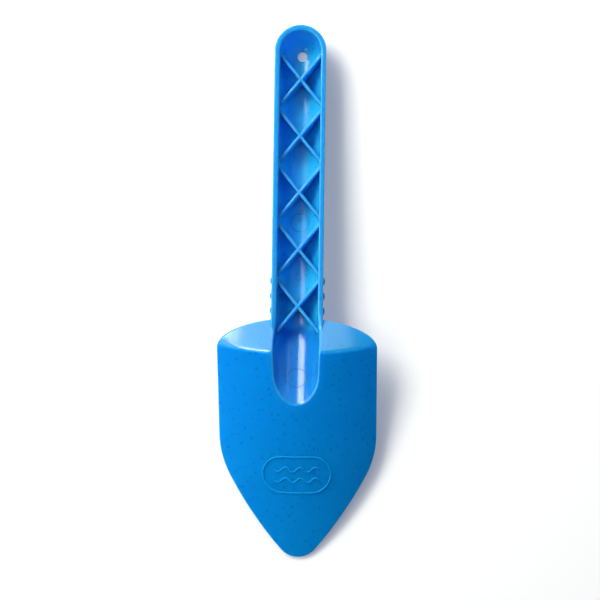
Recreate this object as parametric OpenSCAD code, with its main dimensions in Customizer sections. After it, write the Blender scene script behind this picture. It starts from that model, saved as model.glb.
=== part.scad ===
// Sand shovel for a child: one rigid plastic moulding, given as the features it is made up of.
// It lies back up, resting on the point of its blade and on the round end of its handle.

/* [Handle] */
// Length of the handle, from the blade root to its round end
handle_l = 152.9; // [110:0.1:220]
// Width of the handle across its rim
handle_w = 24.2; // [18:0.1:34]
// Depth of the handle, from rim to underside
handle_h = 19; // [14:0.1:28]
// Thickness of the handle wall
handle_t = 2.4; // [1.4:0.1:3]
// Lean of the handle flanks, in degrees
handle_draft = 3.4; // [1:0.1:8]
// Diameter of the hang hole in the floor of the round end
hole_d = 4.8; // [3:0.1:8]

/* [Blade] */
// Length of the blade along its ridge
blade_l = 103.2; // [70:0.1:150]
// Width of the blade between its straight sides
blade_w = 73.8; // [50:0.1:100]
// Thickness of the blade
blade_t = 2; // [1.4:0.1:3]
// Radius that the blade is bowed to
blade_bow_r = 72; // [50:0.5:150]
// Slope of the blade against the handle, in degrees
blade_pitch = 22; // [8:0.1:30]
// Height of the blade root above the handle rim
root_rise = 7.4; // [1:0.1:14]
// Radius where the straight sides turn towards the point
side_r = 40.5; // [20:0.5:80]
// Turn of the outline on that radius, in degrees
side_turn = 29.2; // [15:0.1:40]
// Radius of the long edges that run to the point
taper_r = 218; // [120:1:400]
// Radius of the point
tip_r = 10.3; // [5:0.1:20]

/* [Shoulder] */
// Reach of the shoulder's rounded edge towards the handle
shoulder_reach = 12.1; // [8:0.1:24]
// Set-back of the shoulder's lower edge from its upper edge
shoulder_setback = 0.6; // [0.2:0.1:1.5]

/* [Trough] */
// Place where the channel turns upwards, measured from the blade root at the middle of its round floor
ramp_y = 14.5; // [13.5:0.1:17]
// Turn of the channel up to the blade, in degrees
ramp_turn = 21; // [12:0.1:30]

/* [Cross ribs] */
// Distance of the first crossing from the handle end
rib_first = 24.9; // [20:0.1:40]
// Distance of the last crossing from the blade root
rib_last = 21.6; // [20:0.1:40]
// Gap between the arms of neighbouring crossings where they meet the wall, from middle to middle
rib_gap = 2.6; // [2:0.1:8]
// Thickness of a rib
rib_t = 1.3; // [0.8:0.1:2]
// Depth of the rib tops below the rim
rib_drop = 5.3; // [1:0.1:10]

/* [Grip ridges] */
// Distance of the ridge nearest to the blade from the blade root
ridge_first = 19.3; // [18:0.1:40]
// Distance between ridges
ridge_pitch = 6.9; // [4:0.1:10]
// Width of a ridge
ridge_w = 2.4; // [1:0.1:4]
// Height of a ridge
ridge_h = 0.8; // [0.3:0.05:1.2]
// Depth of the ridge ends below the rim
ridge_drop = 3; // [1:0.1:8]

/* [Emblem] */
// Length of the oval
emblem_l = 33; // [20:0.5:45]
// Width of the oval
emblem_w = 19; // [12:0.5:30]
// Place of the oval's middle, measured from the point along the blade
emblem_v = 42; // [30:0.5:60]
// Height of the raised lines
emblem_h = 0.5; // [0.3:0.05:1]
// Width of the raised lines
line_w = 1.3; // [0.8:0.1:2]
// Length of a wave line
wave_l = 21; // [12:0.5:28]
// Length of a single wave
wave_pitch = 7; // [4:0.1:12]
// Height of a wave to each side
wave_a = 1.1; // [0.5:0.1:2]
// Distance between the wave lines
wave_gap = 5.4; // [4:0.1:8]

/* [Hidden] */
// Overrun of a cutter past the face it cuts
over = 1;
// Steps in an arc of an outline
arc_n = 24;
// Steps along half of the shoulder
fan_n = 20;
// Crossings in the channel
rib_n = 5;
$fn = 96;

// Section of the handle: a round floor that runs into leaning flanks, rim at height 0
half_w = handle_w / 2;
floor_r = (half_w * cos(handle_draft) - handle_h * sin(handle_draft)) / (1 - sin(handle_draft));
inner_r = floor_r - handle_t;
arc_z = floor_r - handle_h;
end_y = handle_l - half_w;
joint_y = end_y - hole_d;

// Blade root, with the blade's own frame running from the point to the root
blade_half = blade_w / 2;
bow_in_r = blade_bow_r - blade_t;
body_top = root_rise + handle_t;
mitre_share = 1 / 2;
reach_y = blade_bow_r + handle_l;

// Corner of the blade at the root, outside and inside
function corner_w(r) = sqrt(r * r - blade_half * blade_half) - blade_bow_r;
function corner_y(r) = -corner_w(r) * sin(blade_pitch);
function corner_z(r) = root_rise + corner_w(r) * cos(blade_pitch);

// Rest on the table: the line that touches the point and the round end from below
tip_y = -blade_l * cos(blade_pitch);
tip_z = root_rise - blade_l * sin(blade_pitch);
foot_y = tip_y + blade_t * sin(blade_pitch);
foot_z = tip_z - blade_t * cos(blade_pitch);
foot_span = norm([end_y - foot_y, arc_z - foot_z]);
rest_tilt = atan2(arc_z - foot_z, end_y - foot_y) - asin(floor_r / foot_span);
low_y = tip_y * cos(rest_tilt) + tip_z * sin(rest_tilt);
high_y = handle_l * cos(rest_tilt);
rest_y = -(low_y + high_y) / 2;
rest_z = foot_y * sin(rest_tilt) - foot_z * cos(rest_tilt);

// Half width of the flank of radius r at height z
function flank_x(r, z) = r / cos(handle_draft) + (z - arc_z) * tan(handle_draft);

// Whole section up to a height, and its right half for the round end
function section(r, top) = concat(
    [[flank_x(r, top), top]],
    [for (i = [0:arc_n])
        let (a = -handle_draft - (180 - 2 * handle_draft) * i / arc_n)
        [r * cos(a), arc_z + r * sin(a)]],
    [[-flank_x(r, top), top]]);
function half_section(r, top) = concat(
    [[0, top], [flank_x(r, top), top]],
    [for (i = [0:arc_n])
        let (a = -handle_draft - (90 - handle_draft) * i / arc_n)
        [r * cos(a), arc_z + r * sin(a)]]);

// Crossings spread along the handle, each as long as the gap to its neighbour leaves it
rib_pitch = (handle_l - rib_first - rib_last) / (rib_n - 1);
rib_turn = atan2((rib_pitch - rib_gap) / 2, flank_x(inner_r, -rib_drop));

// Half of the blade outline: the point, the long edge, the turn and the straight side
point_turn = acos((side_r * (1 - cos(side_turn)) + taper_r * cos(side_turn) - blade_half)
    / (taper_r - tip_r));
taper_u = tip_r * cos(point_turn);
taper_v = tip_r * (1 - sin(point_turn));
turn_u = blade_half - side_r * (1 - cos(side_turn));
turn_v = taper_v + taper_r * (sin(point_turn) - sin(side_turn));
function point_arc(i) = let (a = 90 - (90 - point_turn) * i / arc_n)
    [tip_r * cos(a), tip_r * (1 - sin(a))];
function taper_arc(i) = let (a = point_turn - (point_turn - side_turn) * i / arc_n)
    [taper_u + taper_r * (cos(a) - cos(point_turn)), taper_v + taper_r * (sin(point_turn) - sin(a))];
function turn_arc(i) = let (a = side_turn - side_turn * i / arc_n)
    [turn_u + side_r * (cos(a) - cos(side_turn)), turn_v + side_r * (sin(side_turn) - sin(a))];
half_outline = concat(
    [for (i = [0:arc_n]) point_arc(i)],
    [for (i = [1:arc_n]) taper_arc(i)],
    [for (i = [1:arc_n]) turn_arc(i)],
    [[blade_half, blade_l]]);
outline_last = len(half_outline) - 1;
blade_outline = concat(
    half_outline,
    [for (i = [outline_last:-1:1]) [-half_outline[i][0], half_outline[i][1]]]);

// Right half of the shoulder: straight lines from the blade's end arc to an oval edge
function root_point(r, i) =
    let (a = asin(blade_half / r) * i / fan_n, w = r * cos(a) - blade_bow_r)
    [r * sin(a), -w * sin(blade_pitch), root_rise + w * cos(blade_pitch)];
function edge_point(r, reach, i) =
    [blade_half * sin(90 * i / fan_n), corner_y(r) + reach * cos(90 * i / fan_n), corner_z(r)];
function fan_points(r, reach) = concat(
    [for (i = [0:fan_n - 1]) root_point(r, i)],
    [for (i = [0:fan_n - 1]) edge_point(r, reach, i)],
    [root_point(r, fan_n)]);
function lowered(points) = [for (p = points) [p[0], p[1], -handle_h]];
inner_reach = shoulder_reach - shoulder_setback - corner_y(bow_in_r) + corner_y(blade_bow_r);

// Closed shell between an upper and a lower fan of points
module fan_solid(upper, lower) {
    n = fan_n;
    m = 2 * n + 1;
    polyhedron(points = concat(upper, lower), faces = concat(
        [for (k = [0:n - 2]) each [[k, n + k, n + k + 1], [k, n + k + 1, k + 1]]],
        [[n - 1, 2 * n - 1, 2 * n]],
        [for (k = [0:n - 2]) each [[m + k, m + n + k + 1, m + n + k], [m + k, m + k + 1, m + n + k + 1]]],
        [[m + n - 1, m + 2 * n, m + 2 * n - 1]],
        [for (k = [0:n - 1]) each [[n + k + 1, n + k, m + n + k], [n + k + 1, m + n + k, m + n + k + 1]]],
        [for (k = [0:n - 2]) each [[k, k + 1, m + k + 1], [k, m + k + 1, m + k]]],
        [[n - 1, 2 * n, m + 2 * n], [n - 1, m + 2 * n, m + n - 1]],
        [[n, 0, m], [n, m, m + n]]), convexity = 4);
}

// Places
module at_rest() {
    translate([0, rest_y, rest_z]) rotate([-rest_tilt, 0, 0]) children();
}
module on_blade() {
    translate([0, 0, root_rise]) rotate([blade_pitch, 0, 0]) translate([0, -blade_l, 0]) children();
}
module on_ramp(turn_share) {
    translate([0, ramp_y, arc_z]) rotate([-turn_share * ramp_turn, 0, 0]) translate([0, 0, -arc_z]) children();
}

// Stretch of the handle section between two places
module run(r, top, y0, y1) {
    translate([0, y1, 0]) rotate([90, 0, 0]) linear_extrude(y1 - y0) polygon(section(r, top));
}
module end_body(r, top, y0) {
    run(r, top, y0, end_y);
    translate([0, end_y, 0]) rotate_extrude(angle = 180) polygon(half_section(r, top));
}

// Half spaces: the side of the root towards the handle, and the two sides of the ramp's turn
module handle_side() {
    on_blade() translate([-reach_y, blade_l, -reach_y]) cube([2 * reach_y, reach_y, 2 * reach_y]);
}
module level_side(lap = 0) {
    on_ramp(mitre_share) translate([-reach_y, -lap, -reach_y]) cube([2 * reach_y, reach_y, 2 * reach_y]);
}
module ramp_side() {
    on_ramp(mitre_share) translate([-reach_y, -reach_y, -reach_y])
        cube([2 * reach_y, reach_y, 2 * reach_y]);
}

// Stretch of the section on the ramp, from inside the handle to past the blade
module ramp_run(r, top) {
    on_ramp(1) run(r, top, -blade_l, blade_l);
}

// Everything below a bow of radius r along the blade
module bow(r, v0, v1) {
    on_blade() translate([0, v0, -blade_bow_r]) rotate([-90, 0, 0]) cylinder(h = v1 - v0, r = r, $fn = 360);
}

module handle_channel() {
    color("#1c86dc") at_rest() difference() {
        intersection() {
            run(floor_r, 0, 0, joint_y);
            level_side();
        }
        run(inner_r, over, -over, joint_y + over);
    }
}

module handle_end() {
    color("#1c86dc") at_rest() difference() {
        end_body(floor_r, 0, joint_y);
        end_body(inner_r, over, joint_y - over);
        translate([0, end_y, -handle_h - over]) cylinder(h = handle_t + 2 * over, d = hole_d);
    }
}

// What stands above both the rim and the shoulder, to the right of the channel
module above_neck() {
    difference() {
        translate([inner_r / 2, -blade_l, 0]) cube([handle_w, 2 * blade_l, 2 * body_top]);
        fan_solid(fan_points(blade_bow_r, shoulder_reach),
            lowered(fan_points(blade_bow_r, shoulder_reach)));
    }
}

module neck_channel() {
    color("#1c86dc") at_rest() difference() {
        intersection() {
            ramp_run(floor_r, body_top);
            ramp_side();
            handle_side();
        }
        ramp_run(inner_r, body_top + over);
        above_neck();
        mirror([1, 0, 0]) above_neck();
    }
}

module trough_nose() {
    color("#1c86dc") at_rest() difference() {
        intersection() {
            ramp_run(floor_r, body_top);
            bow(blade_bow_r, 0, blade_l);
        }
        ramp_run(inner_r, body_top + over);
    }
}

module blade_shell() {
    color("#1478cc") at_rest() difference() {
        intersection() {
            on_blade() translate([0, 0, -blade_half]) linear_extrude(blade_w) polygon(blade_outline);
            difference() {
                bow(blade_bow_r, 0, blade_l);
                bow(bow_in_r, -over, blade_l + over);
            }
        }
        ramp_run(floor_r, body_top + over);
    }
}

module shoulder_right() {
    color("#4aa4ee") at_rest() shoulder_half();
}
module shoulder_left() {
    color("#4aa4ee") at_rest() mirror([1, 0, 0]) shoulder_half();
}
module shoulder_half() {
    difference() {
        fan_solid(fan_points(blade_bow_r, shoulder_reach), fan_points(bow_in_r, inner_reach));
        intersection() {
            run(floor_r, body_top + over, -blade_l, blade_l);
            level_side(over);
        }
        intersection() {
            ramp_run(floor_r, body_top + over);
            ramp_side();
        }
    }
}

// One X of two arms, standing on the channel floor
module cross_rib(k) {
    color("#0d5cc0") at_rest() intersection() {
        end_body(inner_r, -rib_drop, 0);
        translate([0, handle_l - rib_first - k * rib_pitch, -handle_h / 2]) {
            rotate([0, 0, rib_turn]) cube([2 * handle_w, rib_t, handle_h], center = true);
            rotate([0, 0, -rib_turn]) cube([2 * handle_w, rib_t, handle_h], center = true);
        }
    }
}
module cross_rib_1() {
    cross_rib(0);
}
module cross_rib_2() {
    cross_rib(1);
}
module cross_rib_3() {
    cross_rib(2);
}
module cross_rib_4() {
    cross_rib(3);
}
module cross_rib_5() {
    color("#0d5cc0") difference() {
        cross_rib(4);
        at_rest() difference() {
            ramp_side();
            ramp_run(inner_r, body_top);
        }
    }
}

// One ridge round the underside of the handle
module grip_ridge(k) {
    y = ridge_first + k * ridge_pitch;
    color("#1270c4") at_rest() difference() {
        run(floor_r + ridge_h, -ridge_drop, y - ridge_w / 2, y + ridge_w / 2);
        run(floor_r, over, y - ridge_w, y + ridge_w);
    }
}
module grip_ridge_1() {
    grip_ridge(0);
}
module grip_ridge_2() {
    grip_ridge(1);
}
module grip_ridge_3() {
    grip_ridge(2);
}

// Raised lines on the blade back
module raised_on_blade() {
    intersection() {
        on_blade() translate([0, emblem_v, -blade_half]) linear_extrude(blade_w) children();
        difference() {
            bow(blade_bow_r + emblem_h, 0, blade_l);
            bow(blade_bow_r, -over, blade_l + over);
        }
    }
}
module oval(l, w) {
    square([l - w, w], center = true);
    translate([(l - w) / 2, 0]) circle(d = w);
    translate([-(l - w) / 2, 0]) circle(d = w);
}
function wave_line(side) = [for (i = [0:2 * arc_n])
    let (x = wave_l * (i / arc_n - 1) / 2)
    [x, wave_a * sin(360 * x / wave_pitch) + side * line_w / 2]];
module wave(shift) {
    points = concat(wave_line(-1), [for (i = [2 * arc_n:-1:0]) wave_line(1)[i]]);
    translate([0, shift]) polygon(points);
}
module emblem_border() {
    color("#0d66b8") at_rest() raised_on_blade() difference() {
        oval(emblem_l, emblem_w);
        oval(emblem_l - 2 * line_w, emblem_w - 2 * line_w);
    }
}
module emblem_wave_1() {
    color("#0d66b8") at_rest() raised_on_blade() wave(wave_gap / 2);
}
module emblem_wave_2() {
    color("#0d66b8") at_rest() raised_on_blade() wave(-wave_gap / 2);
}

handle_channel();
handle_end();
neck_channel();
trough_nose();
blade_shell();
shoulder_left();
shoulder_right();
cross_rib_1();
cross_rib_2();
cross_rib_3();
cross_rib_4();
cross_rib_5();
grip_ridge_1();
grip_ridge_2();
grip_ridge_3();
emblem_border();
emblem_wave_1();
emblem_wave_2();
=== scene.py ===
import math

import bmesh
import bpy
import numpy as np
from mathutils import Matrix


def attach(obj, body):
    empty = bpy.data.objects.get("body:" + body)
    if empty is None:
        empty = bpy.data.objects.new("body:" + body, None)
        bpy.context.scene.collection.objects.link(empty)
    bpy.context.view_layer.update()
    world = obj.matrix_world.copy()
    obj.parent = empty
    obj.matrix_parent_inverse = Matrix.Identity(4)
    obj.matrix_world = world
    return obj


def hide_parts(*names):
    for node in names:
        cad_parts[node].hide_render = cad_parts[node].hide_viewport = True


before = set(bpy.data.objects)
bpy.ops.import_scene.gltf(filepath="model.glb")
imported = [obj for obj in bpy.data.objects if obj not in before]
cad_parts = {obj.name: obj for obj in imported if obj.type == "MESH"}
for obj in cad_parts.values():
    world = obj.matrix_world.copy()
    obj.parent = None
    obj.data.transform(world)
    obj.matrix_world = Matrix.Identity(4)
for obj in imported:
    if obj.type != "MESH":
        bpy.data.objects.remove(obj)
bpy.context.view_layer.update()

# sizes of the moulding, millimetres and degrees, in the handle's own frame:
# x across, y from the blade root towards the handle end, z up from the rim
shovel = {
    "handleLength": 152.9, "handleWidth": 24.2, "handleDepth": 19.0, "wall": 2.4, "draft": 3.4,
    "bladeLength": 103.2, "bladeWidth": 73.8, "bladeThick": 2.0, "bowRadius": 72.0,
    "pitch": 22.0, "rootRise": 7.4,
    "sideRadius": 40.5, "sideTurn": 29.2, "taperRadius": 218.0, "tipRadius": 10.3,
    "shoulderReach": 12.1, "shoulderSetback": 0.6, "shoulderFall": 0.91, "ridgeSoft": 1.15,
    "rampPlace": 14.5, "rampTurn": 21.0, "crease": 0.4,
    "spread": 0.1, "spreadFrom": 16.0, "spreadRun": 13.0,  # the channel's inside widens into the trough
    "rimUntil": 6.0, "rimBlend": 0.8, "rimAway": -60.0,  # the rim plane counts only on the handle
}
tiny = 1e-6  # a length below this counts as nothing

draft, pitch, rampTurn = (math.radians(shovel[k]) for k in ("draft", "pitch", "rampTurn"))
halfWidth, bladeHalf = shovel["handleWidth"] / 2, shovel["bladeWidth"] / 2
bowRadius, rootRise, bladeLength = shovel["bowRadius"], shovel["rootRise"], shovel["bladeLength"]
outerR = (halfWidth * math.cos(draft) - shovel["handleDepth"] * math.sin(draft)) / (1 - math.sin(draft))
innerR = outerR - shovel["wall"]
arcZ = outerR - shovel["handleDepth"]
endY = shovel["handleLength"] - halfWidth
rampPlace = shovel["rampPlace"]


# rest on the table: the line that touches the point and the round end from below
def restPlace():
    tipY, tipZ = -bladeLength * math.cos(pitch), rootRise - bladeLength * math.sin(pitch)
    footY = tipY + shovel["bladeThick"] * math.sin(pitch)
    footZ = tipZ - shovel["bladeThick"] * math.cos(pitch)
    span = math.hypot(endY - footY, arcZ - footZ)
    tilt = math.atan2(arcZ - footZ, endY - footY) - math.asin(outerR / span)
    low = tipY * math.cos(tilt) + tipZ * math.sin(tilt)
    high = shovel["handleLength"] * math.cos(tilt)
    return tilt, -(low + high) / 2, footY * math.sin(tilt) - footZ * math.cos(tilt)


restTilt, restY, restZ = restPlace()


# handle frame in millimetres -> row frame in metres, a turn about x and a shift
def toRow(points):
    x, y, z = np.moveaxis(points, -1, 0)
    c, s = math.cos(restTilt), math.sin(restTilt)
    return np.stack([x, y * c + z * s + restY, -y * s + z * c + restZ], -1) / 1000


# larger and smaller of two values with the corner rounded over a width
def softMax(a, b, width):
    return np.maximum(a, b) + np.maximum(width - np.abs(a - b), 0) ** 2 / (4 * width)


def softMin(a, b, width):
    return -softMax(-a, -b, width)


# smooth step from 0 to 1: three squares less two cubes
def smooth(t):
    t = np.clip(t, 0, 1)
    return t * t * (3 - 2 * t)


# straight blend from a to b
def lerp(a, b, t):
    return a + (b - a) * t


# rows of straight blends from each first value to each last one
def spread(first, last, count):
    return lerp(first[:, None], last[:, None], np.linspace(0, 1, count)[None, :])


# distances between two rows of points
def apart(a, b):
    return np.linalg.norm(b - a, axis=1)


# a part divided by its whole, also where the whole is nothing
def shareOf(part, whole):
    return part / np.maximum(whole, tiny)


# vectors divided by their length
def unit(v, least=1e-9):
    return v / np.maximum(np.linalg.norm(v, axis=-1, keepdims=True), least)


# section of the channel by distance from the middle of its floor: an arc, then a leaning straight flank
def sectionAt(radius, along):
    bend = radius * (math.pi / 2 - draft)
    turn, straight = np.minimum(along, bend) / radius, np.maximum(along - bend, 0)
    x = radius * np.sin(turn) + straight * math.sin(draft)
    return x, -radius * np.cos(turn) + straight * math.cos(draft)


# height of a section point at y: level along the handle, then up the ramp, with a softened crease
def rampHeight(h, y):
    ramp = arcZ + (rampPlace - y) * math.tan(rampTurn) + h / math.cos(rampTurn)
    return softMax(arcZ + h, ramp, shovel["crease"])


# channel surface: the section carried along the level handle, up the ramp, or swung round the end;
# inside, the section widens a little into the trough
def channelPoint(radius, along, y, swing=0.0):
    x, h = sectionAt(radius, along)
    wider = shovel["spread"] * smooth((shovel["spreadFrom"] - y) / shovel["spreadRun"])
    x = x * (1 + wider * (radius < (innerR + outerR) / 2))
    return np.stack(np.broadcast_arrays(x * np.cos(swing), y + x * np.sin(swing), rampHeight(h, y)), -1)


# height of the bowed blade over the plan: a cylinder along the sloping ridge
def bladeHeight(x, y, radius):
    sag = np.sqrt(radius ** 2 - x ** 2) - bowRadius
    return rootRise + y * math.tan(pitch) + sag / math.cos(pitch)


# corner of the blade root for a bow radius, as y and z
def rootCorner(radius):
    sag = math.sqrt(radius ** 2 - bladeHalf ** 2) - bowRadius
    return -sag * math.sin(pitch), rootRise + sag * math.cos(pitch)


# height of the shoulder: straight lines in y from a little below the blade's end arc down to the oval edge
def shoulderHeight(x, y, radius, reach):
    sag = np.sqrt(radius ** 2 - x ** 2) - bowRadius
    cornerY, cornerZ = rootCorner(radius)
    edgeY = cornerY + reach * np.sqrt(np.maximum(1 - (x / bladeHalf) ** 2, 0))
    rootY = -sag * math.sin(pitch)
    share = shareOf(edgeY - y, edgeY - rootY)
    return cornerZ + (rootRise + sag * math.cos(pitch) - cornerZ) * share * shovel["shoulderFall"]


underRadius = bowRadius - shovel["bladeThick"]
underReach = (shovel["shoulderReach"] - shovel["shoulderSetback"]
              - rootCorner(underRadius)[0] + rootCorner(bowRadius)[0])
ridgeSoft = shovel["ridgeSoft"]


# upper and lower side of blade and shoulder: the lower of the two heights, with the ridge rounded
def backHeight(x, y):
    x = np.clip(x, 0, bladeHalf)
    return softMin(bladeHeight(x, y, bowRadius),
                   shoulderHeight(x, y, bowRadius, shovel["shoulderReach"]), ridgeSoft)


def underHeight(x, y):
    x = np.clip(x, 0, bladeHalf)
    return softMin(bladeHeight(x, y, underRadius), shoulderHeight(x, y, underRadius, underReach), ridgeSoft)


# top of the walls: the rim plane on the handle, the back of the blade and shoulder beyond it
def wallTop(x, y):
    rim = np.where(y > shovel["rimUntil"], 0.0, shovel["rimAway"])
    return softMax(rim, backHeight(x, y), shovel["rimBlend"])


# the oval runs into the sides a little below the ridge and a little wider
edge = {"low": 2.1, "wide": 0.25, "ovalSteps": 160, "straightSteps": 121, "turnSteps": 80,
        "taperSteps": 200, "pointSteps": 120}


# half of the outer edge from the handle wall to the point, as upper and lower rows of (x, y, z):
# the shoulder's oval, the straight side, the turn, the long edge and the point
def outerEdge(startX):
    oval = np.linspace(math.asin(startX / bladeHalf), math.pi / 2, edge["ovalSteps"])
    low, wide = edge["low"], edge["wide"]
    sideTurn, sideR = math.radians(shovel["sideTurn"]), shovel["sideRadius"]
    taperR, tipR = shovel["taperRadius"], shovel["tipRadius"]
    pointTurn = math.acos((sideR * (1 - math.cos(sideTurn)) + taperR * math.cos(sideTurn) - bladeHalf)
                          / (taperR - tipR))
    taperV = tipR * (1 - math.sin(pointTurn))
    turnV = taperV + taperR * (math.sin(pointTurn) - math.sin(sideTurn))
    straightV = turnV + sideR * math.sin(sideTurn)
    side = np.linspace(0, 1, edge["straightSteps"])[1:]
    turn = np.linspace(0, sideTurn, edge["turnSteps"])[1:]
    taper = np.linspace(sideTurn, pointTurn, edge["taperSteps"])[1:]
    point = np.linspace(pointTurn, math.pi / 2, edge["pointSteps"])[1:]
    u = np.concatenate([lerp(bladeHalf + wide, bladeHalf, side), bladeHalf - sideR * (1 - np.cos(turn)),
                        tipR * math.cos(pointTurn) + taperR * (np.cos(taper) - math.cos(pointTurn)),
                        tipR * np.cos(point)])
    v = np.concatenate([lerp(bladeLength - low / math.cos(pitch), straightV, side),
                        turnV + sideR * (math.sin(sideTurn) - np.sin(turn)),
                        taperV + taperR * (math.sin(pointTurn) - np.sin(taper)), tipR * (1 - np.sin(point))])
    rows = []
    for radius, reach, height in ((bowRadius, shovel["shoulderReach"], backHeight),
                                  (underRadius, underReach, underHeight)):
        sag = np.sqrt(radius ** 2 - u ** 2) - bowRadius
        x = np.concatenate([(bladeHalf + wide * np.sin(oval) ** 4) * np.sin(oval), u])
        y = np.concatenate([rootCorner(radius)[0] - low + (reach + low / np.cos(oval[0])) * np.cos(oval),
                            (v - bladeLength) * math.cos(pitch) - sag * math.sin(pitch)])
        rows.append(np.stack([x, y, height(x, y)], -1))
    return rows


# how far along a line from its start a height difference turns from below to above, by halving
def crossing(below, reach, halvings=46):
    low, high = np.zeros_like(reach), reach.copy()
    for _ in range(halvings):
        middle = (low + high) / 2
        under = below(middle)
        low, high = np.where(under, middle, low), np.where(under, high, middle)
    return (low + high) / 2


# circular rounding of a corner between a point before it and a point after it, as a rational curve
def rounding(before, corner, after, count, leastShare=0.05):
    t = np.linspace(0, 1, count)[None, :, None]
    turn = np.sum(unit(corner - before) * unit(after - corner), -1)
    # cosine of half the turn; a hairpin keeps a least share of its corner
    weight = np.sqrt(np.clip((1 + turn) / 2, leastShare, 1))[:, None, None]
    a, b, c = (1 - t) ** 2, 2 * t * (1 - t) * weight, t ** 2
    return (a * before[:, None] + b * corner[:, None] + c * after[:, None]) / (a + b + c)


# metres: points closer than this become one, which also closes the slivers where a wall runs out
weld = {"points": 7e-6, "slivers": 1e-7}


# smooth shading, with a sharp edge where two faces meet at more than an angle in degrees
def shade(mesh, sharp=None):
    mesh.polygons.foreach_set("use_smooth", np.ones(len(mesh.polygons), bool))
    if sharp:
        mesh.set_sharp_from_angle(angle=math.radians(sharp))


# mesh object from points, faces and marks in the handle frame, welded, facing outwards and smooth
def makePiece(name, points, faces, wearAndHighlight=0.0, gloss=0.0, paintedChannelLight=0.0, trough=0.0, sharp=None):
    points = points.reshape(-1, 3)
    mesh = bpy.data.meshes.new(name)
    mesh.from_pydata(toRow(points).tolist(), [], faces.tolist())
    for label, values in (("wearAndHighlight", wearAndHighlight), ("gloss", gloss), ("paintedChannelLight", paintedChannelLight), ("trough", trough)):
        layer = mesh.attributes.new(label, "FLOAT", "POINT")
        layer.data.foreach_set("value", np.ones(len(points)) * values)
    bm = bmesh.new()
    bm.from_mesh(mesh)
    bmesh.ops.remove_doubles(bm, verts=bm.verts, dist=weld["points"])
    bmesh.ops.dissolve_degenerate(bm, edges=bm.edges, dist=weld["slivers"])
    bmesh.ops.recalc_face_normals(bm, faces=bm.faces)
    if bm.calc_volume(signed=True) < 0:
        bmesh.ops.reverse_faces(bm, faces=bm.faces)
    openEdges = sum(1 for e in bm.edges if not e.is_manifold)
    bm.to_mesh(mesh)
    bm.free()
    shade(mesh, sharp)
    obj = bpy.data.objects.new(name, mesh)
    bpy.context.collection.objects.link(obj)
    print("made", name, len(mesh.vertices), "points,", len(mesh.polygons), "faces, open edges", openEdges)
    return obj


# four-sided faces of a grid of rows by columns, closed round either way if asked
def gridFaces(rows, cols, closeRows=False, closeCols=False):
    i = np.arange(rows if closeRows else rows - 1)[:, None]
    j = np.arange(cols if closeCols else cols - 1)[None, :]
    i2, j2 = (i + 1) % rows, (j + 1) % cols
    return np.stack(np.broadcast_arrays(i * cols + j, i2 * cols + j, i2 * cols + j2, i * cols + j2),
                    -1).reshape(-1, 4)


# both ends of a strip closed on the middle of their profile
def closeEnds(points):
    middle = points.mean(1, keepdims=True)
    points[0], points[-1] = middle[0], middle[-1]


# half-round section of a bead: a sine to a power across its width, and two points sunk into what carries it
def beadSection(look):
    q = np.linspace(0, math.pi, look["roundSteps"])
    across = np.concatenate([np.cos(q), [-look["footShare"], look["footShare"]]]) * look["line"] / 2
    return across, np.concatenate([np.sin(q) ** look["power"] * look["height"], [-look["sink"]] * 2])


# the shovel's body: handle, neck, trough, shoulder and blade as one skin.
# Half of it is a profile carried along a path: from the middle of the channel floor up the wall, over the
# rim, out over the back to the outer edge, back along the underside and down the outer wall again.
body = {
    "holeRadius": 2.4, "holeEdge": 0.45, "holeSpread": 5.0, "holeFade": 12.0,
    "rimRound": 0.6, "innerRound": 0.6, "lipRound": 0.8, "neckRound": 1.7,
    "footRound": 0.9, "edgeRound": 0.6, "underRound": 1.1,
    "neckFrom": 20.0, "neckRun": 7.0, "lipFrom": 11.0, "lipRun": 11.0,  # where the lip's rounding changes
    "troughTurn": -12.0, "noseTurn": -9.5, "setbackRun": 30.0, "lowRoot": 0.4, "junctionInset": 0.05,
    "lipBand": 2.3, "bandFrom": 0.5, "bandRun": 3.0, "bendRun": 4.0, "floorEase": 1.6, "reach": 45.0,
    "lipShare": 0.4, "wallShare": 0.45, "flangeShare": 0.3, "rimShares": (0.7, 0.28),  # limits of roundings
    # lighter tone: on the hole's edge it is wear; on the rim top partly wear, partly painted light; along the
    # ridge a painted highlight line; on the lip, painted channel light
    "holeWear": 0.3, "rimWearAndLight": 0.25, "ridgeHighlight": 1.5, "ridgeHighlightWide": 0.16, "lipInside": 0.9,
    "glossFrom": 0.04, "glossRun": 0.5, "matteFrom": 1.0, "matteRun": 2.0,
    "troughFrom": 13.5, "troughRun": 4.0,
    "endSteps": 30, "holeSteps": 14, "handleStep": 1.6, "neckSteps": 34, "sideSteps": 18,
    "fineBand": 3.2, "fineSteps": 13, "fanSteps": 71, "fanEase": 1.25,
    "floorSteps": 44, "rimSteps": 6, "backSteps": 74, "underSteps": 60,
    "roundSteps": {"hole": 5, "lip": 8, "rim": 8, "foot": 6, "edge": 6, "under": 7},
}


# y of the blade's end arc over the plan
def arcY(x):
    return (bowRadius - math.sqrt(bowRadius ** 2 - x ** 2)) * math.sin(pitch)


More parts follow.
